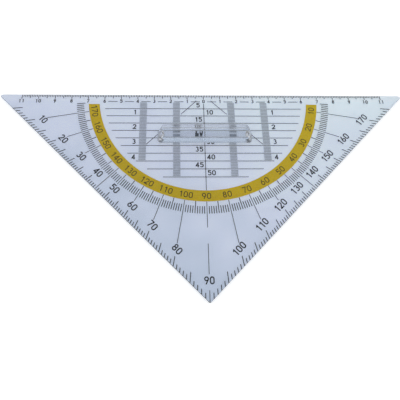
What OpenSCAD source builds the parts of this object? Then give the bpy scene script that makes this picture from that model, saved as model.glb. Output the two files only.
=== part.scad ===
// Geometry triangle: a clear 45-45-90 set square with a protractor, parallel lines and a press-on grip.
// The plate lies flat with its underside at z = 0. The zero of every scale is the origin, in the middle
// of the drawing edge, which runs along X. The right-angled corner points towards -Y.
// All marks lie in shallow engravings in the underside, so that the ink doesn't rub on the paper.

/* [Plate] */
// Length of the drawing edge, corner to corner before rounding
edge_len = 249; // [200:1:320]
// Thickness of the plate
plate_t = 2; // [1.5:0.1:4]
// Thickness of the drawing edge, where its bevel ends
edge_t = 0.5; // [0.4:0.1:1.4]
// Width of the bevel along the drawing edge
bevel_w = 5.4; // [3:0.1:8]
// Radius of the right-angled corner
corner_r = 0.6; // [0.4:0.1:2]
// Radius of the two sharp corners
tip_r = 1.3; // [0.4:0.1:2.5]

/* [Grip] */
// Distance of the grip's middle from the drawing edge
grip_v = 29.6; // [24:0.1:34]
// Length of the grip's foot
grip_len = 55.2; // [44:0.2:66]
// Slope of each end of the grip, from its foot to its top
end_slope = 2.75; // [1:0.05:5]
// Width of the grip
grip_w = 8.3; // [7:0.1:10]
// Height of the grip above the plate, to the crests of its two ridges
grip_h = 6.9; // [5.5:0.1:10]
// Radius of the two rounded ridges along the top
ridge_r = 4.9; // [4:0.1:8]
// Radius of the foot's corners, seen from above
foot_r = 2; // [0.5:0.1:3]
// Diameter of the two pegs
peg_d = 2.4; // [1.6:0.1:4]
// Distance of a peg from the end of the grip's foot
peg_inset = 2.8; // [2.4:0.1:8]
// Radial clearance of a peg in its hole
peg_fit = 0.05; // [0.02:0.01:0.1]
// Gap between a peg's tip and the underside
peg_short = 0.3; // [0.2:0.05:0.8]

/* [Ink] */
// Thickness of the ink
ink_t = 0.05; // [0.03:0.01:0.1]
// Depth of the ink below the face of the underside
ink_sink = 0.01; // [0.01:0.01:0.1]
// Clearance between the ink and the sides of its engraving
ink_fit = 0.02; // [0.01:0.005:0.04]
// Bare margin between the marks and the plate's edges
mark_margin = 0.15; // [0.1:0.05:0.5]
// Width of a fine line
line_w = 0.32; // [0.15:0.01:0.4]
// Width of a tick of the centimetre scale or the protractor
tick_w = 0.42; // [0.2:0.02:0.5]

/* [Centimetre scale] */
// Length of one printed centimetre
cm = 10; // [8:0.5:12]
// Bare end of the drawing edge beyond the last centimetre, at least
scale_end = 10; // [8:0.5:20]
// Length of a millimetre tick
mm_tick = 1.6; // [1:0.1:2]
// Length of a half-centimetre tick
half_tick = 2.7; // [2.2:0.1:3]
// Length of a centimetre tick
cm_tick = 3.2; // [2.8:0.1:3.4]
// Height of the centimetre numerals
cm_num_h = 2.3; // [1.8:0.1:2.5]
// Gap between a centimetre tick and its numeral
cm_num_gap = 0.4; // [0.3:0.05:0.6]

/* [Parallel lines] */
// Distance between the parallel lines
step = 5; // [5:1:8]
// Gap between the ends of the parallel lines and the yellow band
lines_gap = 3.1; // [1:0.1:6]
// Gap between the last parallel line and the circle on which the lines end, at least
last_line_gap = 5; // [3:0.1:10]
// Distance from the centre line to the middle of an inner hatched column
inner_col = 16.5; // [14:0.5:18]
// Distance from the centre line to the middle of an outer hatched column
outer_col = 36.4; // [34:0.1:37]
// Width of a line of the hatching
hatch_w = 0.74; // [0.2:0.02:0.8]
// Width of a hatched column
col_w = 4.2; // [3:0.1:4.6]
// Height of the numerals of the parallel lines
line_num_h = 3.2; // [2.4:0.1:3.8]
// Diameter of the dots where the centre line meets the parallel lines
dot_d = 0.7; // [0.5:0.1:1]

/* [Protractor] */
// Gap between the numerals along the legs and the ring of degree ticks
ring_leg_gap = 1; // [0.5:0.1:3]
// Length of a one-degree tick of the ring
ring_tick = 4.3; // [3:0.1:5]
// Gap between the ring and the yellow band
ring_band_gap = 2.8; // [2:0.1:5]
// Width of the yellow band
band_w = 6.5; // [5:0.1:8]
// Gap between the centimetre numerals and the band's straight ends
band_end_gap = 0.9; // [0.5:0.1:3]
// Height of the numerals on the band
band_num_h = 3.5; // [2.5:0.1:4]
// First degree that is marked, counted from either end
first_deg = 5; // [5:5:15]
// Depth of a one-degree tick, square to the leg
leg_tick = 2.3; // [1.5:0.1:3]
// Depth of a five-degree tick, square to the leg
leg_tick_5 = 4.6; // [4:0.1:5.4]
// Height of the numerals along the legs
leg_num_h = 4; // [3:0.1:4.6]
// Distance of the middle of these numerals from the leg
leg_num_v = 8.2; // [7.6:0.1:9]
// Shift of these numerals along the leg, towards the right-angled corner
leg_num_shift = 0.7; // [0:0.1:1.2]
// Gap between the ring and the bare place on the lower centre line
bare_gap = 7.8; // [2:0.1:12]
// Length of the bare place on the lower centre line
bare_len = 8.9; // [5:0.1:12]

/* [Hidden] */
$fn = 64;
eps = 0.5;
half = edge_len / 2;
root2 = sqrt(2);
// A group of marks is $deep thick, and is grown by $grow where it is cut out of the plate.
$grow = 0;
$deep = ink_t;
// Numerals, as shares of their height: stroke, digit and gap widths, the place for a 1 and the 1 itself
$stroke_w = 0.15;
$digit_w = 0.61;
$digit_gap = 0.12;
$one_place = 0.56;
one_w = 0.34;
// Clear space between neighbouring marks, beside a numeral and below a line
mark_gap = 0.15;
dash_gap = 2.2;
numeral_gap = 1.1;
numeral_drop = 0.8;
outer_num_gap = 2.9;
last_deg = 89;
// Centimetre scale: a millimetre, the last centimetre, and the row of numerals
mm = cm / 10;
last_cm = floor((half - scale_end) / cm);
cm_num_v = cm_tick + cm_num_gap + cm_num_h / 2;
row_end = cm_num_v + cm_num_h / 2;
clear_v = row_end + mark_gap + tick_w / 2;
// Protractor, from the legs inwards: ring, band and the circle on which the parallel lines end
ring_r2 = half / root2 - leg_num_v - leg_num_h / 2 - ring_leg_gap;
ring_r1 = ring_r2 - ring_tick;
band_r2 = ring_r1 - ring_band_gap;
band_r1 = band_r2 - band_w;
band_end = row_end + band_end_gap;
lines_r = band_r1 - lines_gap;
ring_first = max(first_deg, ceil(asin(clear_v / ring_r1)));
// Parallel lines, the dashes beside the centimetre numerals, and the ends of the hatched columns
lines = floor((lines_r - last_line_gap) / step);
last_dash = floor(lines_r / cm);
inner_col_end = lines * step - mm;
outer_col_end = step * floor(line_half(outer_col + col_w / 2) / step) - mm;
peg_gap = grip_len - 2 * peg_inset;
// Distances along the diagonals, where they leave the zero line and where they leave the grip
diagonal_runs = [
    [step - 4 * mark_gap, inner_col - col_w / 2 - 4 * mark_gap],
    [grip_len / 2, outer_col - col_w / 2 - mark_gap]
];
// The lower centre line runs from the band to the numeral above the right-angled corner.
corner_num_v = half - leg_num_v * root2;
lower_runs = [
    [band_r2 + mark_gap, ring_r2 + bare_gap],
    [ring_r2 + bare_gap + bare_len, corner_num_v - leg_num_h / 2 - numeral_gap]
];

ink_black = "#2b2b33";
ink_grey = "#8c929c";
ink_brown = "#4a3c14";
ink_yellow = "#c9a200";
clear_tint = [0.80, 0.84, 0.92, 0.5];

// Point on the ray of a degree of the leg scale, which counts from the left end of the drawing edge
function on_ray(deg, r) = [-r * cos(deg), -r * sin(deg)];
// Distance from the zero to the line that lies d inside a leg, along a ray of the left half
function leg_reach(deg, d, side = 0) =
    (half - d * root2 + side * (sin(deg) - cos(deg))) / (cos(deg) + sin(deg));
// Half length of the parallel line at distance v from the drawing edge
function line_half(v) = sqrt(lines_r * lines_r - v * v);
function digits(n) = n < 10 ? [n] : concat(digits(floor(n / 10)), [n % 10]);
function wide(d) = d == 1 ? $one_place : $digit_w;
// Width of the first k digits of a number, with the gaps after them
function run(list, k) = k == 0 ? 0 : run(list, k - 1) + wide(list[k - 1]) + $digit_gap;

// One straight line between two points
module bar(p, q, w = line_w, ends = $grow) {
    d = q - p;
    translate([p.x, p.y, 0])
        rotate([0, 0, atan2(d.y, d.x)])
            translate([-ends, -w / 2 - $grow, 0])
                cube([norm(d) + 2 * ends, w + 2 * $grow, $deep]);
}

// One straight stroke of a digit: its ends keep their place, so that joined strokes stay tangent
module stroke(p, q, w) {
    bar(p, q, w, ends = 0);
}

// One curved stroke about c, from angle a0 to a1
module arc(c, r, a0, a1, w) {
    translate([c.x, c.y, 0])
        rotate([0, 0, a0])
            rotate_extrude(angle = a1 - a0)
                translate([r - w / 2 - $grow, 0])
                    square([w + 2 * $grow, $deep]);
}

// One digit of height h, with its lower left corner at the origin
module digit(n, h) {
    w = $stroke_w * h;
    lo = $stroke_w / 2;
    hi = 1 - lo;
    left = lo;
    right = $digit_w - lo;
    mid = $digit_w / 2;
    r = mid - lo;
    waist = 0.54;
    r_top = (hi - waist) / 2;
    r_low = (waist - lo) / 2;
    if (n == 0) {
        arc([mid, hi - r] * h, r * h, 0, 180, w);
        arc([mid, lo + r] * h, r * h, 180, 360, w);
        for (x = [left, right]) stroke([x, lo + r] * h, [x, hi - r] * h, w);
    }
    if (n == 1) {
        stem = one_w - lo;
        stroke([stem, 0] * h, [stem, 1] * h, w);
        stroke([0.04, 0.74] * h, [stem, hi] * h, w);
    }
    if (n == 2) {
        tail = -43;
        arc([mid, hi - r] * h, r * h, tail, 170, w);
        stroke([left, lo] * h, [mid + r * cos(tail), hi - r + r * sin(tail)] * h, w);
        stroke([0, lo] * h, [$digit_w, lo] * h, w);
    }
    if (n == 3) {
        arc([mid, hi - r_top] * h, r_top * h, -90, 150, w);
        arc([mid, lo + r_low] * h, r_low * h, -150, 90, w);
    }
    if (n == 4) {
        stem = 0.46;
        cross = 0.28;
        stroke([stem, 0] * h, [stem, 1] * h, w);
        stroke([left, cross] * h, [stem, hi] * h, w);
        stroke([0, cross] * h, [$digit_w, cross] * h, w);
    }
    if (n == 5) {
        bowl = 0.27;
        meet = 138;
        arc([mid - 0.01, lo + bowl] * h, bowl * h, -150, meet, w);
        stroke([mid - 0.01 + bowl * cos(meet), lo + bowl + bowl * sin(meet)] * h, [0.15, 1] * h, w);
        stroke([0.15, hi] * h, [$digit_w - 0.04, hi] * h, w);
    }
    if (n == 6) six(h, w, mid, lo, r);
    if (n == 7) {
        stroke([0.02, hi] * h, [$digit_w, hi] * h, w);
        stroke([0.2, 0] * h, [right, hi] * h, w);
    }
    if (n == 8) {
        arc([mid, hi - r_top] * h, r_top * h, 0, 360, w);
        arc([mid, lo + r_low] * h, r_low * h, 0, 360, w);
    }
    if (n == 9)
        translate([$digit_w, 1, 0] * h) rotate([0, 0, 180]) six(h, w, mid, lo, r);
}

// A bowl with a straight stem that leaves it along its tangent
module six(h, w, mid, lo, r) {
    leave = 155;
    foot = [mid + r * cos(leave), lo + r + r * sin(leave)];
    rise = 1 - foot.y;
    arc([mid, lo + r] * h, r * h, 0, 360, w);
    stroke(foot * h, [foot.x + rise / tan(leave - 90), 1] * h, w);
}

// A number of height h about its own middle
module number(n, h) {
    list = digits(n);
    total = run(list, len(list)) - $digit_gap;
    for (k = [0 : len(list) - 1]) {
        inset = list[k] == 1 ? ($one_place - one_w) / 2 : 0;
        translate([run(list, k) + inset - total / 2, -0.5, 0] * h) digit(list[k], h);
    }
}

// A tick along a ray of the left half, between two depths inside the leg
module leg_mark(deg, d0, d1) {
    s = tick_w / 2 + $grow;
    linear_extrude($deep)
        polygon([
            on_ray(deg, leg_reach(deg, d0 - $grow, -s)) - s * [sin(deg), -cos(deg)],
            on_ray(deg, leg_reach(deg, d0 - $grow, s)) + s * [sin(deg), -cos(deg)],
            on_ray(deg, leg_reach(deg, d1 + $grow, s)) + s * [sin(deg), -cos(deg)],
            on_ray(deg, leg_reach(deg, d1 + $grow, -s)) - s * [sin(deg), -cos(deg)]
        ]);
}

module peg_places() {
    for (side = [-1, 1]) translate([side * peg_gap / 2, -grip_v, 0]) children();
}

// The plate before it is engraved: straight sides, round corners tangent to them, and a thin drawing edge
module plate_blank() {
    difference() {
        plate_outline();
        rotate([90, 0, 90])
            translate([0, 0, -half])
                linear_extrude(edge_len)
                    polygon([
                        [-bevel_w, plate_t], [0, edge_t], [eps, edge_t],
                        [eps, plate_t + eps], [-bevel_w, plate_t + eps]
                    ]);
    }
}

module plate_outline() {
    side_c = half - tip_r * (1 + root2);
    apex_c = half - corner_r * root2;
    tip = tip_r / root2;
    nose = corner_r / root2;
    linear_extrude(plate_t)
        polygon([
            [-side_c, 0], [side_c, 0], [side_c + tip, -tip_r - tip], [nose, -apex_c - nose],
            [-nose, -apex_c - nose], [-side_c - tip, -tip_r - tip]
        ]);
    for (side = [-1, 1]) translate([side * side_c, -tip_r, 0]) cylinder(r = tip_r, h = plate_t);
    translate([0, -apex_c, 0]) cylinder(r = corner_r, h = plate_t);
}

// Marks of each group of ink
module band_marks() {
    start = asin(band_end / band_r1);
    difference() {
        arc([0, 0], (band_r1 + band_r2) / 2, 180 + start / 2, 360 - start / 2, band_r2 - band_r1);
        translate([-half, -band_end + $grow, -eps]) cube([edge_len, band_end, $deep + 2 * eps]);
    }
}

module band_number_marks() {
    $stroke_w = 0.13;
    $digit_w = 0.66;
    $digit_gap = 0.14;
    $one_place = 0.66;
    for (n = [10 : 10 : 170])
        rotate([0, 0, 90 - n])
            translate([0, -(band_r1 + band_r2) / 2, 0]) number(n, band_num_h);
}

module centimetre_marks() {
    for (k = [-last_cm * 10 : last_cm * 10]) {
        v = k % 10 == 0 ? cm_tick : k % 5 == 0 ? half_tick : mm_tick;
        bar([k * mm, -mark_margin], [k * mm, -v], tick_w);
    }
}

module centimetre_number_marks() {
    $stroke_w = 0.19;
    $digit_w = 0.64;
    $digit_gap = 0.2;
    $one_place = 0.64;
    for (k = [-last_cm : last_cm])
        translate([cm * k, -cm_num_v, 0]) number(abs(k), cm_num_h);
}

module parallel_marks() {
    difference() {
        union() {
            for (k = [2 : lines]) {
                v = k * step;
                bar([-line_half(v), -v], [line_half(v), -v]);
                translate([0, -v, 0]) cylinder(d = dot_d + 2 * $grow, h = $deep);
            }
            for (k = [-last_dash : last_dash - 1])
                bar([cm * k + dash_gap, -step], [cm * (k + 1) - dash_gap, -step]);
            bar([0, -row_end - numeral_gap / 2], [0, -band_r1 + mark_gap]);
            for (side = [-1, 1], run = diagonal_runs)
                bar([side * run[0], -run[0]], [side * run[1], -run[1]]);
        }
        peg_places() translate([0, 0, -eps]) cylinder(d = peg_d + 2 * peg_fit + 2 * mark_gap, h = plate_t);
    }
}

module column_marks() {
    for (col = [[inner_col, inner_col_end], [outer_col, outer_col_end]], side = [-1, 1])
        for (v = [step : step : col[1]], k = [1 : round(step / mm) - 1])
            bar([side * col[0] - col_w / 2, -v - k * mm], [side * col[0] + col_w / 2, -v - k * mm], hatch_w);
}

module line_number_marks() {
    $stroke_w = 0.17;
    $digit_w = 0.66;
    $digit_gap = 0.12;
    $one_place = 0.56;
    drop = line_num_h / 2 + numeral_drop;
    middle = numeral_gap + ($digit_w + $digit_gap / 2) * line_num_h;
    for (k = [1 : lines - 1])
        translate([(k % 2 == 0 ? 1 : -1) * middle, -k * step - drop, 0]) number(round(k * step / mm), line_num_h);
    // The outer numerals go on as far as they stay clear of the band.
    x = outer_col + col_w / 2 + outer_num_gap;
    for (k = [1 : floor(lines * step / cm)], side = [-1, 1])
        if (norm([x + $digit_w * line_num_h / 2, k * cm + drop + line_num_h / 2]) < band_r1 - mark_gap)
            translate([side * x, -k * cm - drop, 0]) number(k, line_num_h);
}

// A tick of the ring starts where it clears the band and the centimetre numerals.
module ring_marks(every = 1) {
    for (deg = [ring_first : 180 - ring_first])
        if (deg % every == 0 && deg % 10 != 0 && deg != 45 && deg != 135) {
            start = max(deg % 5 == 0 ? band_r2 + mark_gap : ring_r1, clear_v / sin(deg));
            bar(on_ray(deg, start), on_ray(deg, ring_r2), tick_w);
        }
}

module ray_marks() {
    for (deg = [10 : 10 : 80], side = [0, 1]) {
        end = max(ring_r2, leg_reach(deg, leg_num_v) - 0.7 * leg_num_h);
        mirror([side, 0, 0]) bar(on_ray(deg, band_r2 + mark_gap), on_ray(deg, end));
    }
    for (side = [0, 1])
        mirror([side, 0, 0]) bar(on_ray(45, band_r2 + mark_gap), on_ray(45, half / root2 - mark_margin));
    for (run = lower_runs) bar(on_ray(90, run[0]), on_ray(90, run[1]));
    bar(on_ray(90, half - leg_tick_5 * root2), on_ray(90, half - corner_r - mark_margin));
}

module leg_tick_marks() {
    for (deg = [first_deg : last_deg])
        if (deg != 45)
            leg_mark(deg, mark_margin, deg % 5 == 0 ? leg_tick_5 : leg_tick);
}

module leg_number_marks() {
    for (deg = [10 : 10 : 80]) {
        at = on_ray(deg, leg_reach(deg, leg_num_v)) + leg_num_shift / root2 * [1, -1];
        translate([at.x, at.y, 0]) rotate([0, 0, -45]) number(deg, leg_num_h);
        translate([-at.x, at.y, 0]) rotate([0, 0, 45]) number(180 - deg, leg_num_h);
    }
    translate([0, -corner_num_v, 0]) number(90, leg_num_h);
}

// Beds: a row of ticks or hatching shares one engraving.
module centimetre_bed() {
    bar([-cm * last_cm - tick_w / 2, -(mark_margin + cm_tick) / 2],
        [cm * last_cm + tick_w / 2, -(mark_margin + cm_tick) / 2], cm_tick - mark_margin);
}

module column_beds() {
    for (col = [[inner_col, inner_col_end], [outer_col, outer_col_end]], side = [-1, 1])
        bar([side * col[0], -step], [side * col[0], -col[1] - hatch_w / 2], col_w);
}

module ring_bed() {
    spare = tick_w / ring_r1 * 180 / PI;
    arc([0, 0], (ring_r1 + ring_r2) / 2, 180 + ring_first - spare, 360 - ring_first + spare, ring_tick);
}

module leg_bed() {
    ends = [[first_deg, -tick_w], [last_deg, tick_w]];
    linear_extrude($deep)
        polygon([
            for (end = ends, d = end[0] == first_deg ? [0, 1] : [1, 0])
                let (depth = d == 0 ? mark_margin - $grow : leg_tick_5 + $grow)
                    on_ray(end[0], leg_reach(end[0], depth, end[1])) + end[1] * [sin(end[0]), -cos(end[0])]
        ]);
}

// Lifts the ink to the floor of its engraving.
module inked() {
    translate([0, 0, ink_sink]) children();
}

// Cuts the engraving of a group of marks, a little wider and deeper than its ink.
module pocket() {
    $grow = ink_fit;
    $deep = ink_sink + ink_t + eps;
    translate([0, 0, -eps]) children();
}

module plate() {
    color(clear_tint)
    difference() {
        plate_blank();
        peg_places() translate([0, 0, -eps]) cylinder(d = peg_d + 2 * peg_fit, h = plate_t + 2 * eps);
        pocket() band_marks();
        pocket() centimetre_bed();
        pocket() centimetre_number_marks();
        pocket() {
            parallel_marks();
            column_beds();
        }
        pocket() line_number_marks();
        pocket() {
            ring_bed();
            ring_marks(5);
            ray_marks();
            leg_bed();
            mirror([1, 0, 0]) leg_bed();
        }
        pocket() leg_number_marks();
    }
}

module grip() {
    color(clear_tint) {
        translate([0, -grip_v, plate_t])
            intersection() {
                rotate([90, 0, 90])
                    translate([0, 0, -grip_len])
                        linear_extrude(2 * grip_len) ridged_section();
                rotate([90, 0, 0])
                    translate([0, 0, -grip_w])
                        linear_extrude(2 * grip_w)
                            polygon([
                                [-grip_len / 2, 0], [grip_len / 2, 0],
                                [grip_len / 2 - end_slope, grip_h], [-grip_len / 2 + end_slope, grip_h]
                            ]);
                linear_extrude(grip_h) foot_outline();
            }
        peg_places() translate([0, 0, peg_short]) cylinder(d = peg_d, h = plate_t - peg_short + eps);
    }
}

// The bar's section: two rounded ridges side by side, with a shallow valley between them.
module ridged_section() {
    intersection() {
        translate([-grip_w / 2, 0]) square([grip_w, grip_h]);
        union() {
            for (side = [-1, 1]) translate([side * grip_w / 4, grip_h - ridge_r]) circle(ridge_r);
            translate([-grip_w / 2, 0]) square([grip_w, max(grip_h - ridge_r, eps)]);
        }
    }
}

module foot_outline() {
    x = grip_len / 2 - foot_r;
    y = grip_w / 2 - foot_r;
    square([2 * x, grip_w], center = true);
    square([grip_len, 2 * y], center = true);
    for (sx = [-1, 1], sy = [-1, 1]) translate([sx * x, sy * y]) circle(foot_r);
}

module degree_band() {
    color(ink_yellow)
    inked()
        difference() {
            band_marks();
            translate([0, 0, ink_t / 2]) band_number_marks($deep = ink_t);
        }
}

module band_numerals() {
    color(ink_brown) inked() translate([0, 0, ink_t / 2]) band_number_marks($deep = ink_t / 2);
}

module centimetre_ticks() {
    color(ink_black) inked() centimetre_marks();
}

module centimetre_numerals() {
    color(ink_black) inked() centimetre_number_marks();
}

module parallel_lines() {
    color(ink_black) inked() parallel_marks();
}

module hatched_columns() {
    color(ink_grey) inked() column_marks();
}

module line_numerals() {
    color(ink_black) inked() line_number_marks();
}

module degree_ring() {
    color(ink_black) inked() ring_marks();
}

module degree_rays() {
    color(ink_black) inked() ray_marks();
}

module left_leg_ticks() {
    color(ink_black) inked() leg_tick_marks();
}

module right_leg_ticks() {
    color(ink_black) inked() mirror([1, 0, 0]) leg_tick_marks();
}

module leg_numerals() {
    color(ink_black) inked() leg_number_marks();
}

plate();
grip();
degree_band();
band_numerals();
centimetre_ticks();
centimetre_numerals();
parallel_lines();
hatched_columns();
line_numerals();
degree_ring();
degree_rays();
left_leg_ticks();
right_leg_ticks();
leg_numerals();
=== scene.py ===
"""Geometry triangle: a clear set square with printed scales and a press-on grip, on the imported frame."""

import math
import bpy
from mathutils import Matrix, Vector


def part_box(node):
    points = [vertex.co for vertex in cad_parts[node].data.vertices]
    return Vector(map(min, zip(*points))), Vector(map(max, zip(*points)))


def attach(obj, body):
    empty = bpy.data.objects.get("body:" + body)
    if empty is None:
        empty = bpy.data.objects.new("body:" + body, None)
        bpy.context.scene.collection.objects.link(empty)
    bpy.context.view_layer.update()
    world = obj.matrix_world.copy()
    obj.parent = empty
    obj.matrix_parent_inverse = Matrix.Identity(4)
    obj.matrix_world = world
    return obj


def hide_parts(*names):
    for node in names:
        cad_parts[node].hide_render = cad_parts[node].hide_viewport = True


bl_info = {
    "name": "Geometry Triangle",
    "version": (1, 0, 0),
    "blender": (4, 5, 0),
    "location": "3D View > Sidebar > Triangle",
    "description": "Clear plate, press-on grip, printed scales and a white studio",
    "category": "Add Mesh",
}

import bmesh
import bpy
from bpy.props import FloatProperty, FloatVectorProperty, PointerProperty, StringProperty
from mathutils import Matrix, Vector

MM = 0.001

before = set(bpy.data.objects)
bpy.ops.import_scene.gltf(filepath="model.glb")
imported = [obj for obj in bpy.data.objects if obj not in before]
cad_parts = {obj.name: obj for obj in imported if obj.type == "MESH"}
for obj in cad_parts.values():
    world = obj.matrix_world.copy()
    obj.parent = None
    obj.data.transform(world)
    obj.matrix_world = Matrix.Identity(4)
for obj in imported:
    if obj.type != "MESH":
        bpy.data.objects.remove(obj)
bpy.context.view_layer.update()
PLATE_LOW, PLATE_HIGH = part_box("plate")
GRIP_LOW, GRIP_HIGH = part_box("grip")
INK_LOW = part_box("degree_band")[0]

BLACK_NODES = (
    "centimetre_ticks", "centimetre_numerals", "parallel_lines", "line_numerals", "degree_ring",
    "degree_rays", "left_leg_ticks", "right_leg_ticks", "leg_numerals",
)

# Meshes
WELD = 0.001 * MM  # points nearer than this are one
CUT_WELD = 0.01 * MM  # the same after a cut, which leaves slivers
INK_COVER = 0.006 * MM  # clear plastic below the ink, so that no two faces share a plane
FOOT_GAP = 0.02 * MM  # air between the grip's foot and the plate, for the same reason
TOOL_REACH = 1 * MM  # how far a peg's tool reaches past the face that it cuts or joins
RIM_ANGLE = 0.5  # angle between two faces of the plate, in radians, over which their edge is broken
GRIP_EDGE_ANGLE = math.radians(30)  # angle between two faces of the grip, over which their edge is rounded
RIM_TILT = 0.9  # upright part of a normal, below which a face is rim or side
BROAD_FACE = "broad_face"  # face attribute: 1 on the plate's two faces and bevel, 0 on rim and sides (painted rim shade)

# Clear acrylic
ACRYLIC_IOR = 1.49
PLATE_HAZE = 0.015  # roughness of the polished plate
GRIP_HAZE = 0.03  # roughness of the polished grip
CREASE_HAZE = 0.35  # roughness that a crease of the grip adds
CREASE_CORE = 1 / 3  # share of a crease's half width that is fully dull and fully darkened by painted shade
CREASE_SHADE_TONES = (0, 0.45)  # tones of the painted crease shade and of the clear tint
END_CLEAR = 0.57  # share of a crease's half width that the ends count as away from it: less dull, less painted shade
HAIRLINE_HAZE = 0.08  # roughness that hairline wear adds
HAIRLINE_WIDTH = 1.11 * MM  # finer in real wear, drawn as coarse as it needs to show
HAIRLINE_LENGTH = 16.7 * MM
HAIRLINE_DEPTH = 0.02 * MM
HAIRLINE_BUMP = 0.02  # strength of that depth
HAIRLINE_TURN = 0.6  # turn of the noise in radians, so that its cells don't line up with the hairlines
HAIRLINE_FIRST, HAIRLINE_FULL = 0.45, 0.75  # noise where a hairline starts and is at its roughest
MELT_WAY = Vector((1, 2, 0))  # the melt's way across the plate, towards the upper right
MELT_START, MELT_END = -2.0, 0.7  # from the right angle to near the right tip, along that way
MELT_TONE_START, MELT_TONE_END = -0.1, 0.65  # tone at those places, before the clouds
MELT_TONES = (0, 0.02, 0.45, 1)  # tones of the plate's four tints, of which 0 is the painted rim shade alone
CLOUD_SIZE = 25 * MM  # soft clouds in the melt
CLOUD_SHARE = 0.5  # tone that a cloud can add

# Printing ink
INK_SPECK = 0.9 * MM  # thin specks of the film, finer in print and drawn as coarse as they need to show
INK_DEPTH = 0.01 * MM  # depth of a speck
INK_BUMP = 0.1  # strength of that depth
INK_FULL, INK_THIN = 0.35, 0.8  # noise where the film is full and where it is thinnest
INK_ROUGH_FULL, INK_ROUGH_THIN = 0.45, 0.7
INK_SPECULAR = 0.05  # low, because the clear plate and not air lies over the ink

# Studio
SENSOR_WIDTH = 36  # mm
NEAREST = 10 * MM  # nearest distance that the camera shows
FLOOR_SIZE = 3.0  # metres, far past the frame
TENT_LOW, TENT_HIGH = 0.1, 0.8  # upright part of a direction, between which the tent gains its full light
CARD_OUTSIDE, CARD_INSIDE = 0.74, 0.84  # cosines from the card's middle, between which its edge is soft
WHITE = (1, 1, 1, 1)


def length(name, description, default):
    """A size in metres."""
    return FloatProperty(name=name, description=description, default=default, unit="LENGTH", precision=5)


def colour(name, description, default):
    """A colour as an sRGB hex value."""
    return StringProperty(name=name, description=description, default=default)


def linear(hex_code):
    """Turns an sRGB hex value into a linear colour with full alpha."""
    channels = [int(hex_code[i:i + 2], 16) / 255 for i in (1, 3, 5)]
    return tuple(c / 12.92 if c <= 0.04045 else ((c + 0.055) / 1.055) ** 2.4 for c in channels) + (1.0,)


def add_node(tree, kind, inputs=None, links=None, **settings):
    """Adds one node, sets its properties and input values, and links its inputs to other nodes' outputs."""
    node = tree.nodes.new(kind)
    for key, value in settings.items():
        setattr(node, key, value)
    for key, value in (inputs or {}).items():
        node.inputs[key].default_value = value
    for key, socket in (links or {}).items():
        tree.links.new(socket, node.inputs[key])
    return node


def set_ramp(ramp, stops):
    """Sets a colour ramp's stops, given as places and linear colours from low to high."""
    elements = ramp.color_ramp.elements
    for position, _ in stops[1:-1]:
        elements.new(position)
    for element, (position, tint) in zip(elements, stops):
        element.position = position
        element.color = tint


def new_material(name):
    """An empty node material and its output node."""
    material = bpy.data.materials.new(name)
    material.use_nodes = True
    material.node_tree.nodes.clear()
    return material, add_node(material.node_tree, "ShaderNodeOutputMaterial")


def new_object(bm, name, material):
    """Turns a bmesh into an object with a material."""
    mesh = bpy.data.meshes.new(name)
    bm.to_mesh(mesh)
    bm.free()
    mesh.materials.append(material)
    made = bpy.data.objects.new(name, mesh)
    bpy.context.scene.collection.objects.link(made)
    return made


def finish_piece(bm, name, material, body, node):
    """Turns a bmesh into a piece that rides on a body and stands for a CAD node."""
    bmesh.ops.remove_doubles(bm, verts=bm.verts, dist=WELD)
    bmesh.ops.recalc_face_normals(bm, faces=bm.faces)
    piece = new_object(bm, name, material)
    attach(piece, body)
    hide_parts(node)


def cut(bm, tool, operation):
    """Joins a bmesh with a tool bmesh, or cuts the tool out of it."""
    objects = []
    for source in (bm, tool):
        mesh = bpy.data.meshes.new("joining")
        source.to_mesh(mesh)
        source.free()
        objects.append(bpy.data.objects.new("joining", mesh))
        bpy.context.scene.collection.objects.link(objects[-1])
    change = objects[0].modifiers.new("joining", "BOOLEAN")
    change.operation = operation
    change.solver = "EXACT"
    change.object = objects[1]
    bpy.context.view_layer.update()
    result = bmesh.new()
    result.from_object(objects[0], bpy.context.evaluated_depsgraph_get())
    for done in objects:
        mesh = done.data
        bpy.data.objects.remove(done)
        bpy.data.meshes.remove(mesh)
    return result


def pull(bm, way):
    """Extrudes a flat shape into a closed one, and gives the points that moved."""
    made = bmesh.ops.extrude_face_region(bm, geom=bm.faces[:])["geom"]
    moved = [item for item in made if isinstance(item, bmesh.types.BMVert)]
    bmesh.ops.translate(bm, verts=moved, vec=way)
    bmesh.ops.recalc_face_normals(bm, faces=bm.faces)
    return moved


def slice_through(bm, point, way, **more):
    """Cuts a bmesh along a plane, and gives the edges of the cut."""
    whole = bm.verts[:] + bm.edges[:] + bm.faces[:]
    made = bmesh.ops.bisect_plane(bm, geom=whole, plane_co=point, plane_no=way, **more)["geom_cut"]
    return [item for item in made if isinstance(item, bmesh.types.BMEdge)]


def round_off(bm, picked, kind, offset, segments, **more):
    """Rounds corners or edges, or breaks them if there is one segment."""
    bmesh.ops.bevel(
        bm, geom=picked, affect=kind, offset=offset, offset_type="OFFSET", segments=segments, profile=0.5,
        material=-1, **more)


def shade(bm, crisp_degrees):
    """Shades curved faces smooth, and keeps edges with a larger angle crisp."""
    for face in bm.faces:
        face.smooth = True
    for edge in bm.edges:
        edge.smooth = edge.is_manifold and edge.calc_face_angle() < math.radians(crisp_degrees)


def pegs(grip, diameter, low, high):
    """Two upright round bars at the places of the grip's pegs."""
    bm = bmesh.new()
    for side in (-1, 1):
        bmesh.ops.create_cone(
            bm, cap_ends=True, segments=48, radius1=diameter / 2, radius2=diameter / 2, depth=high - low,
            matrix=Matrix.Translation((side * grip.peg_gap / 2, grip.place_y, (low + high) / 2)))
    return bm


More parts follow.
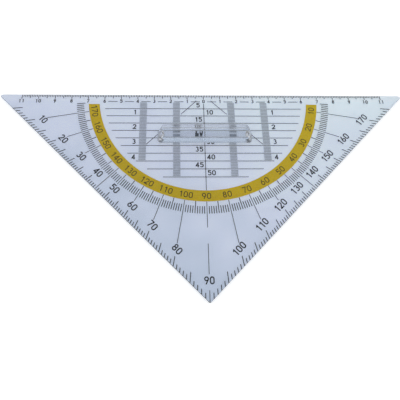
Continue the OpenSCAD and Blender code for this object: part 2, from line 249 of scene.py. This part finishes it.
class TrianglePlate(bpy.types.PropertyGroup):
    """Sizes and colours of the clear plate."""
    edge: length("Drawing edge", "Length between the sharp corners", 249 * MM)
    right_corner: length("Right angle", "Length of the right angle's rounding along its edges", 0.61 * MM)
    sharp_corner: length("Sharp corners", "Length of the sharp corners' rounding along their edges", 3.9 * MM)
    low: length("Underside", "Height of the clear underside, just below the ink", INK_LOW.z - INK_COVER)
    high: length("Top", "Height of the top face", PLATE_HIGH.z)
    edge_thick: length("Edge thickness", "Thickness of the drawing edge, where its bevel ends", 0.5 * MM)
    edge_bevel: length("Edge bevel", "Width of the bevel along the drawing edge", 5.4 * MM)
    rim: length("Rim", "Width of the moulded edge break", 0.2 * MM)
    hole: length("Peg hole", "Diameter of the two peg holes", 2.5 * MM)
    # painted shade: the rim and sides take this darker colour
    painted_rim_shade: colour("Painted rim shade", "Painted shade: darker colour of the rim and sides", "#7A8494")
    tint_low: colour("Low tint", "Colour of the clear plastic towards the lower left", "#D2DCE9")
    tint_middle: colour("Middle tint", "Colour of the clear plastic in the middle of its flow", "#E8EDF9")
    tint_high: colour("High tint", "Colour of the clear plastic towards the upper right", "#F3FCFF")


class TriangleGrip(bpy.types.PropertyGroup):
    """Sizes and colours of the press-on grip."""
    place_y: length("Place", "Middle of the grip across the plate", (GRIP_LOW.y + GRIP_HIGH.y) / 2)
    foot: length("Length", "Length of the foot", GRIP_HIGH.x - GRIP_LOW.x)
    slope: length("End slope", "How far each end leans in", 2.75 * MM)
    width: length("Width", "Width of the bar", GRIP_HIGH.y - GRIP_LOW.y)
    low: length("Foot", "Height of the foot, a hair above the plate", PLATE_HIGH.z + FOOT_GAP)
    high: length("Top", "Height of the ridges' crests", GRIP_HIGH.z)
    ridge: length("Ridge radius", "Radius of the two ridges along the top", 4.9 * MM)
    corner: length("Foot corners", "Radius of the foot's corners, seen from above", 2 * MM)
    edge_round: length("Edge rounding", "Rounding of the upper edges", 0.35 * MM)
    peg: length("Peg", "Diameter of a peg", 2.4 * MM)
    peg_gap: length("Peg spacing", "Distance between the pegs", 49.6 * MM)
    peg_low: length("Peg tip", "Height of the pegs' tips", GRIP_LOW.z)
    crease: length("Crease", "Half width of the dull creases along the ridges", 0.6 * MM)
    parting: length("Parting line", "Height of the mould's parting line above the foot", 0.65 * MM)
    crease_drop: length("Crease depth", "How far below the crests the creases reach", 0.7 * MM)
    tint: colour("Tint", "Colour of the clear plastic", "#F4F7FC")
    # painted shade: the darker colour of the creases, the parting line and the ends
    painted_crease_shade: colour("Painted crease shade", "Painted shade in the dull creases", "#AAB1BA")


class TriangleInk(bpy.types.PropertyGroup):
    """Colours of the printing inks, where the film is full and where it is thin."""
    black: colour("Black", "Ink of the scales and lines", "#101117")
    black_thin: colour("Thin black", "Black ink in a thin film", "#292A31")
    yellow: colour("Yellow", "Ink of the degree band", "#FFDA00")
    yellow_thin: colour("Thin yellow", "Yellow ink in a thin film", "#F2C600")
    brown: colour("Brown", "Ink of the numerals on the band", "#3A2C08")
    brown_thin: colour("Thin brown", "Brown ink in a thin film", "#4E3D12")
    grey: colour("Grey", "Ink of the hatched columns", "#C8CDD4")
    grey_thin: colour("Thin grey", "Grey ink in a thin film", "#D3D7DD")


class TriangleStage(bpy.types.PropertyGroup):
    """Camera, floor and light."""
    camera_place: FloatVectorProperty(
        name="Camera", description="Place of the camera", subtype="TRANSLATION", precision=5,
        default=(-17.425 * MM, -143.18 * MM, 200.37 * MM))
    camera_turn: FloatVectorProperty(
        name="Turn", description="Turn of the camera", subtype="EULER",
        default=tuple(math.radians(a) for a in (20.425, -1.4293, -0.7197)))
    lens: FloatProperty(
        name="Lens", description="Focal length for a 36 mm sensor", default=34.726, unit="CAMERA")
    shift: FloatProperty(name="Shift", description="Sideways shift of the frame", default=0.0352)
    floor: colour("Floor", "Colour of the floor", "#F0F0F0")
    air: length("Air", "Air between the floor and the underside, which is never quite flat", 0.3 * MM)
    lift: FloatProperty(
        name="Floor white", description="White that the floor adds to its lit colour", default=0.32)
    sky: FloatProperty(name="Tent", description="Strength of the white tent's light", default=1.54)
    gap: FloatProperty(name="Gap", description="Light that enters along the floor", default=0.45)
    card: colour("Card", "Colour of the grey card that the plate and the grip mirror", "#98A2AF")
    card_rise: FloatProperty(
        name="Card height", description="Angle of the grey card above the floor", subtype="ANGLE",
        default=math.radians(68))


def polished_acrylic(tree, output, tone, tints, haze, dull):
    """Clear acrylic from a polished mould, with hairline wear: tinted along a tone, duller where it is 0."""
    tint = add_node(tree, "ShaderNodeValToRGB", links={"Fac": tone})
    set_ramp(tint, [(position, linear(hex_code)) for position, hex_code in tints])
    place = add_node(tree, "ShaderNodeTexCoord").outputs["Object"]
    hairlines = add_node(
        tree, "ShaderNodeMapping",
        {"Rotation": (0, 0, HAIRLINE_TURN),
         "Scale": (1 / HAIRLINE_LENGTH, 1 / HAIRLINE_WIDTH, 1 / HAIRLINE_LENGTH)},
        {"Vector": place})
    wear = add_node(
        tree, "ShaderNodeTexNoise", {"Scale": 1.0, "Detail": 3.0}, {"Vector": hairlines.outputs["Vector"]})
    worn = add_node(
        tree, "ShaderNodeMapRange",
        {"From Min": HAIRLINE_FIRST, "From Max": HAIRLINE_FULL,
         "To Min": haze, "To Max": haze + HAIRLINE_HAZE},
        {"Value": wear.outputs["Fac"]})
    duller = add_node(tree, "ShaderNodeMapRange", {"To Min": dull, "To Max": 0.0}, {"Value": tone})
    rough = add_node(
        tree, "ShaderNodeMath", operation="ADD",
        links={0: worn.outputs["Result"], 1: duller.outputs["Result"]})
    bump = add_node(
        tree, "ShaderNodeBump", {"Strength": HAIRLINE_BUMP, "Distance": HAIRLINE_DEPTH},
        {"Height": wear.outputs["Fac"]})
    surface = add_node(
        tree, "ShaderNodeBsdfPrincipled", {"Transmission Weight": 1.0, "IOR": ACRYLIC_IOR},
        {"Base Color": tint.outputs["Color"], "Roughness": rough.outputs[0],
         "Normal": bump.outputs["Normal"]})
    tree.links.new(surface.outputs["BSDF"], output.inputs["Surface"])


def plate_acrylic(plate):
    """Clear acrylic, injection moulded: the plate.

    To the eye it is a glassy sheet with a faint blue tint, which drifts in soft clouds along the way that
    the melt flowed, and with painted shade on its rim and sides: a darker tint there.
    """
    material, output = new_material("clear_acrylic_moulded_plate")
    tree = material.node_tree
    place = add_node(tree, "ShaderNodeTexCoord").outputs["Object"]
    along = add_node(
        tree, "ShaderNodeVectorMath", {1: MELT_WAY / (plate.edge / 2)}, {0: place}, operation="DOT_PRODUCT")
    flow = add_node(
        tree, "ShaderNodeMapRange",
        {"From Min": MELT_START, "From Max": MELT_END, "To Min": MELT_TONE_START, "To Max": MELT_TONE_END},
        {"Value": along.outputs["Value"]})
    cloud = add_node(tree, "ShaderNodeTexNoise", {"Scale": 1 / CLOUD_SIZE, "Detail": 2.0}, {"Vector": place})
    drift = add_node(
        tree, "ShaderNodeMath", {1: CLOUD_SHARE}, {0: cloud.outputs["Fac"], 2: flow.outputs["Result"]},
        operation="MULTIPLY_ADD")
    broad = add_node(tree, "ShaderNodeAttribute", attribute_name=BROAD_FACE)
    # Painted shade: where the face attribute is 0, on rim and sides, the tone is 0 and gives the darker rim
    # colour.
    tone = add_node(
        tree, "ShaderNodeMath", operation="MULTIPLY", links={0: drift.outputs[0], 1: broad.outputs["Fac"]})
    tints = zip(MELT_TONES, (plate.painted_rim_shade, plate.tint_low, plate.tint_middle, plate.tint_high))
    polished_acrylic(tree, output, tone.outputs[0], tints, PLATE_HAZE, 0.0)
    return material


def grip_acrylic(grip):
    """Clear acrylic, injection moulded: the grip.

    To the eye it is a small lens that squeezes the print below it, with painted grey shade as dull lines
    in the creases along its ridges and at the parting line above its foot. Its ends get less of both.
    """
    material, output = new_material("clear_acrylic_moulded_grip")
    tree = material.node_tree
    place = add_node(tree, "ShaderNodeTexCoord").outputs["Object"]
    axes = add_node(tree, "ShaderNodeSeparateXYZ", links={"Vector": place})
    # The way to the nearest crease, which lies in the valley or at a side, and only near the top.
    across = add_node(tree, "ShaderNodeMath", {1: -grip.place_y}, {0: axes.outputs["Y"]}, operation="ADD")
    aside = add_node(
        tree, "ShaderNodeMath", {1: grip.width / 4}, {0: across.outputs[0]}, operation="PINGPONG")
    below = add_node(
        tree, "ShaderNodeMath", {0: grip.high - grip.crease_drop}, {1: axes.outputs["Z"]},
        operation="SUBTRACT")
    crease = add_node(
        tree, "ShaderNodeMath", operation="MAXIMUM", links={0: aside.outputs[0], 1: below.outputs[0]})
    # The way to the ends.
    outward = add_node(tree, "ShaderNodeMath", links={0: axes.outputs["X"]}, operation="ABSOLUTE")
    inside = add_node(
        tree, "ShaderNodeMath", {0: grip.foot / 2 - grip.slope + grip.crease}, {1: outward.outputs[0]},
        operation="SUBTRACT")
    end = add_node(
        tree, "ShaderNodeMath", {1: END_CLEAR * grip.crease}, {0: inside.outputs[0]}, operation="MAXIMUM")
    # The way to the parting line.
    above = add_node(
        tree, "ShaderNodeMath", {1: grip.low + grip.parting}, {0: axes.outputs["Z"]}, operation="SUBTRACT")
    parting = add_node(tree, "ShaderNodeMath", links={0: above.outputs[0]}, operation="ABSOLUTE")
    nearer = add_node(
        tree, "ShaderNodeMath", operation="MINIMUM", links={0: crease.outputs[0], 1: end.outputs[0]})
    nearest = add_node(
        tree, "ShaderNodeMath", operation="MINIMUM", links={0: nearer.outputs[0], 1: parting.outputs[0]})
    # Painted shade: the tone turns the tint to the darker crease colour in the creases, at the parting line
    # and, less, at the ends.
    tone = add_node(
        tree, "ShaderNodeMapRange", {"From Min": CREASE_CORE * grip.crease, "From Max": grip.crease},
        {"Value": nearest.outputs[0]})
    tints = zip(CREASE_SHADE_TONES, (grip.painted_crease_shade, grip.tint))
    polished_acrylic(tree, output, tone.outputs["Result"], tints, GRIP_HAZE, CREASE_HAZE)
    return material


def printing_ink(name, full, thin):
    """Screen printing ink, cured matt.

    To the eye it is a flat, opaque film with no gloss of its own, and its colour shifts a little in specks
    where it is thin.
    """
    material, output = new_material(name)
    tree = material.node_tree
    place = add_node(tree, "ShaderNodeTexCoord").outputs["Object"]
    specks = add_node(tree, "ShaderNodeTexNoise", {"Scale": 1 / INK_SPECK, "Detail": 3.0}, {"Vector": place})
    film = add_node(tree, "ShaderNodeValToRGB", links={"Fac": specks.outputs["Fac"]})
    set_ramp(film, [(INK_FULL, linear(full)), (INK_THIN, linear(thin))])
    rough = add_node(
        tree, "ShaderNodeMapRange", {"To Min": INK_ROUGH_FULL, "To Max": INK_ROUGH_THIN},
        {"Value": specks.outputs["Fac"]})
    bump = add_node(
        tree, "ShaderNodeBump", {"Strength": INK_BUMP, "Distance": INK_DEPTH},
        {"Height": specks.outputs["Fac"]})
    surface = add_node(
        tree, "ShaderNodeBsdfPrincipled", {"Specular IOR Level": INK_SPECULAR},
        {"Base Color": film.outputs["Color"], "Roughness": rough.outputs["Result"],
         "Normal": bump.outputs["Normal"]})
    tree.links.new(surface.outputs["BSDF"], output.inputs["Surface"])
    return material


def seamless_paper(stage):
    """Seamless studio paper, matt white.

    To the eye it is an even white that keeps soft shadows, also in gloss and through the clear plastic.
    """
    material, output = new_material("white_paper_floor")
    tree = material.node_tree
    path = add_node(tree, "ShaderNodeLightPath")
    mirrored = add_node(
        tree, "ShaderNodeMath", operation="MAXIMUM",
        links={0: path.outputs["Is Camera Ray"], 1: path.outputs["Is Glossy Ray"]})
    seen = add_node(
        tree, "ShaderNodeMath", operation="MAXIMUM",
        links={0: mirrored.outputs[0], 1: path.outputs["Is Transmission Ray"]})
    lift = add_node(tree, "ShaderNodeMath", {1: stage.lift}, {0: seen.outputs[0]}, operation="MULTIPLY")
    glow = add_node(tree, "ShaderNodeEmission", links={"Strength": lift.outputs[0]})
    paper = add_node(tree, "ShaderNodeBsdfDiffuse", {"Color": linear(stage.floor)})
    both = add_node(tree, "ShaderNodeAddShader", links={0: paper.outputs[0], 1: glow.outputs[0]})
    tree.links.new(both.outputs[0], output.inputs["Surface"])
    return material


def light_tent(stage):
    """A white tent with a dark gap along the floor, and a grey card where the plate's faces mirror it."""
    world = bpy.data.worlds.new("studio")
    world.use_nodes = True
    tree = world.node_tree
    tree.nodes.clear()
    aim = add_node(tree, "ShaderNodeTexCoord").outputs["Generated"]
    height = add_node(tree, "ShaderNodeSeparateXYZ", links={"Vector": aim}).outputs["Z"]
    tent = add_node(
        tree, "ShaderNodeMapRange",
        {"From Min": TENT_LOW, "From Max": TENT_HIGH, "To Min": stage.gap, "To Max": stage.sky},
        {"Value": height})
    card_way = (0, math.cos(stage.card_rise), math.sin(stage.card_rise))
    facing = add_node(tree, "ShaderNodeVectorMath", {1: card_way}, {0: aim}, operation="DOT_PRODUCT")
    cloth = add_node(tree, "ShaderNodeValToRGB", links={"Fac": facing.outputs["Value"]})
    set_ramp(cloth, [(CARD_OUTSIDE, WHITE), (CARD_INSIDE, linear(stage.card))])
    sky = add_node(
        tree, "ShaderNodeBackground",
        links={"Color": cloth.outputs["Color"], "Strength": tent.outputs["Result"]})
    # The camera sees plain white behind the floor.
    path = add_node(tree, "ShaderNodeLightPath")
    white = add_node(tree, "ShaderNodeBackground", {"Color": WHITE, "Strength": 1.0})
    backdrop = add_node(
        tree, "ShaderNodeMixShader",
        links={0: path.outputs["Is Camera Ray"], 1: sky.outputs[0], 2: white.outputs[0]})
    output = add_node(tree, "ShaderNodeOutputWorld")
    tree.links.new(backdrop.outputs[0], output.inputs["Surface"])
    return world


class TRIANGLE_OT_plate(bpy.types.Operator):
    """Builds the clear triangular plate with its two peg holes"""
    bl_idname = "triangle.plate"
    bl_label = "Plate"

    def execute(self, context):
        plate = context.scene.triangle_plate
        grip = context.scene.triangle_grip
        half = plate.edge / 2
        bm = bmesh.new()
        left, right_angle, right = (
            bm.verts.new((x * half, y * half, plate.low)) for x, y in ((-1, 0), (0, -1), (1, 0)))
        bm.faces.new((left, right_angle, right))
        round_off(bm, [right_angle], "VERTICES", plate.right_corner, segments=12)
        round_off(bm, [left, right], "VERTICES", plate.sharp_corner, segments=12)
        pull(bm, (0, 0, plate.high - plate.low))
        # The drawing edge: a sloping cut takes its top down to a thin edge.
        slope = (0, plate.high - plate.edge_thick, plate.edge_bevel)
        bmesh.ops.holes_fill(bm, edges=slice_through(bm, (0, 0, plate.edge_thick), slope, clear_outer=True))
        bmesh.ops.recalc_face_normals(bm, faces=bm.faces)
        # The rim: each sharp edge that runs more along the plate than up is broken.
        rims = [
            e for e in bm.edges
            if e.calc_face_angle() > RIM_ANGLE
            and abs(e.verts[0].co.z - e.verts[1].co.z) < e.calc_length() / 2
        ]
        round_off(bm, rims, "EDGES", plate.rim, segments=1)
        bm = cut(bm, pegs(grip, plate.hole, plate.low - TOOL_REACH, plate.high + TOOL_REACH), "DIFFERENCE")
        shade(bm, crisp_degrees=12)
        bm.normal_update()
        broad_face = bm.faces.layers.float.new(BROAD_FACE)
        for face in bm.faces:
            face[broad_face] = float(abs(face.normal.z) > RIM_TILT)
        finish_piece(bm, "clear_plate", plate_acrylic(plate), "plate", "plate")
        return {"FINISHED"}


class TRIANGLE_OT_grip(bpy.types.Operator):
    """Builds the grip with its two ridges and two pegs"""
    bl_idname = "triangle.grip"
    bl_label = "Grip"

    def execute(self, context):
        grip = context.scene.triangle_grip
        height = grip.high - grip.low
        half = grip.width / 2
        ridge_z = height - grip.ridge
        reach = math.asin(half / 2 / grip.ridge)
        side_z = ridge_z + grip.ridge * math.cos(reach)
        # The section: one ridge from the side to the valley, its mirror image, and the foot.
        bm = bmesh.new()
        side = bm.verts.new((-grip.foot, half, side_z))
        bmesh.ops.spin(
            bm, geom=[side], cent=(0, half / 2, ridge_z), axis=(1, 0, 0), angle=2 * reach, steps=16,
            use_duplicate=False)
        foot = bm.verts.new((-grip.foot, half, 0))
        bm.edges.new((foot, side))
        bmesh.ops.mirror(
            bm, geom=bm.verts[:] + bm.edges[:], matrix=Matrix.Identity(4), merge_dist=WELD, axis="Y")
        bm.edges.new([v for v in bm.verts if v.co.z == 0])
        bmesh.ops.contextual_create(bm, geom=bm.edges[:])
        pull(bm, (2 * grip.foot, 0, 0))
        # The ends: a block with round corners that leans in towards the top.
        block = bmesh.new()
        corners = [
            block.verts.new((x * grip.foot / 2, y * half, 0)) for x, y in ((-1, -1), (1, -1), (1, 1), (-1, 1))
        ]
        block.faces.new(corners)
        round_off(block, corners, "VERTICES", grip.corner, segments=8)
        for v in pull(block, (0, 0, height)):
            v.co.x -= math.copysign(grip.slope, v.co.x)
        bm = cut(bm, block, "INTERSECT")
        bmesh.ops.remove_doubles(bm, verts=bm.verts, dist=CUT_WELD)
        upper_edges = [
            e for e in bm.edges
            if e.is_manifold and e.calc_face_angle() > GRIP_EDGE_ANGLE
            and min(v.co.z for v in e.verts) > height / 2
        ]
        round_off(bm, upper_edges, "EDGES", grip.edge_round, segments=3, clamp_overlap=True)
        # Loops next to the rounded edges keep the long faces true.
        margin = 2 * grip.edge_round
        end_x = grip.foot / 2 - grip.slope
        for way, reach_out in (((1, 0, 0), end_x), ((-1, 0, 0), end_x), ((0, 0, 1), side_z)):
            slice_through(bm, Vector(way) * (reach_out - margin), way)
        bmesh.ops.translate(bm, verts=bm.verts, vec=(0, grip.place_y, grip.low))
        bm = cut(bm, pegs(grip, grip.peg, grip.peg_low, grip.low + TOOL_REACH), "UNION")
        shade(bm, crisp_degrees=30)
        finish_piece(bm, "clear_grip", grip_acrylic(grip), "grip", "grip")
        return {"FINISHED"}


class TRIANGLE_OT_inks(bpy.types.Operator):
    """Gives the printed scales their inks"""
    bl_idname = "triangle.inks"
    bl_label = "Printed scales"

    def execute(self, context):
        ink = context.scene.triangle_ink
        black = printing_ink("screen_ink_black", ink.black, ink.black_thin)
        inks = {name: black for name in BLACK_NODES}
        inks["degree_band"] = printing_ink("screen_ink_yellow", ink.yellow, ink.yellow_thin)
        inks["band_numerals"] = printing_ink("screen_ink_brown", ink.brown, ink.brown_thin)
        inks["hatched_columns"] = printing_ink("screen_ink_grey", ink.grey, ink.grey_thin)
        for name, material in inks.items():
            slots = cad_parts[name].data.materials
            slots.clear()
            slots.append(material)
        return {"FINISHED"}


class TRIANGLE_OT_stage(bpy.types.Operator):
    """Sets up the white floor, the even light and the camera"""
    bl_idname = "triangle.stage"
    bl_label = "Studio"

    def execute(self, context):
        scene = context.scene
        stage = scene.triangle_stage
        scene.view_settings.view_transform = "Standard"
        scene.world = light_tent(stage)
        lens = bpy.data.cameras.new("photo_camera")
        lens.sensor_width = SENSOR_WIDTH
        lens.lens = stage.lens
        lens.shift_x = stage.shift
        lens.clip_start = NEAREST
        camera = bpy.data.objects.new("photo_camera", lens)
        camera.location = stage.camera_place
        camera.rotation_euler = stage.camera_turn
        scene.collection.objects.link(camera)
        scene.camera = camera
        bm = bmesh.new()
        bmesh.ops.create_grid(
            bm, x_segments=1, y_segments=1, size=FLOOR_SIZE,
            matrix=Matrix.Translation((0, 0, PLATE_LOW.z - stage.air)))
        floor = new_object(bm, "floor", seamless_paper(stage))
        return {"FINISHED"}


class TRIANGLE_PT_panel(bpy.types.Panel):
    """Lists the steps that build the geometry triangle"""
    bl_label = "Geometry Triangle"
    bl_idname = "TRIANGLE_PT_panel"
    bl_space_type = "VIEW_3D"
    bl_region_type = "UI"
    bl_category = "Triangle"

    def draw(self, context):
        for operator in OPERATORS:
            self.layout.operator(operator.bl_idname)


GROUPS = {
    "triangle_plate": TrianglePlate,
    "triangle_grip": TriangleGrip,
    "triangle_ink": TriangleInk,
    "triangle_stage": TriangleStage,
}
OPERATORS = (TRIANGLE_OT_plate, TRIANGLE_OT_grip, TRIANGLE_OT_inks, TRIANGLE_OT_stage)


def register():
    for group in GROUPS.values():
        bpy.utils.register_class(group)
    for name, group in GROUPS.items():
        setattr(bpy.types.Scene, name, PointerProperty(type=group))
    for kind in OPERATORS + (TRIANGLE_PT_panel,):
        bpy.utils.register_class(kind)


def unregister():
    for kind in reversed(OPERATORS + (TRIANGLE_PT_panel,)):
        bpy.utils.unregister_class(kind)
    for name in GROUPS:
        delattr(bpy.types.Scene, name)
    for group in GROUPS.values():
        bpy.utils.unregister_class(group)


def main():
    register()
    bpy.ops.triangle.plate()
    bpy.ops.triangle.grip()
    bpy.ops.triangle.inks()
    bpy.ops.triangle.stage()


if __name__ == "__main__":
    main()
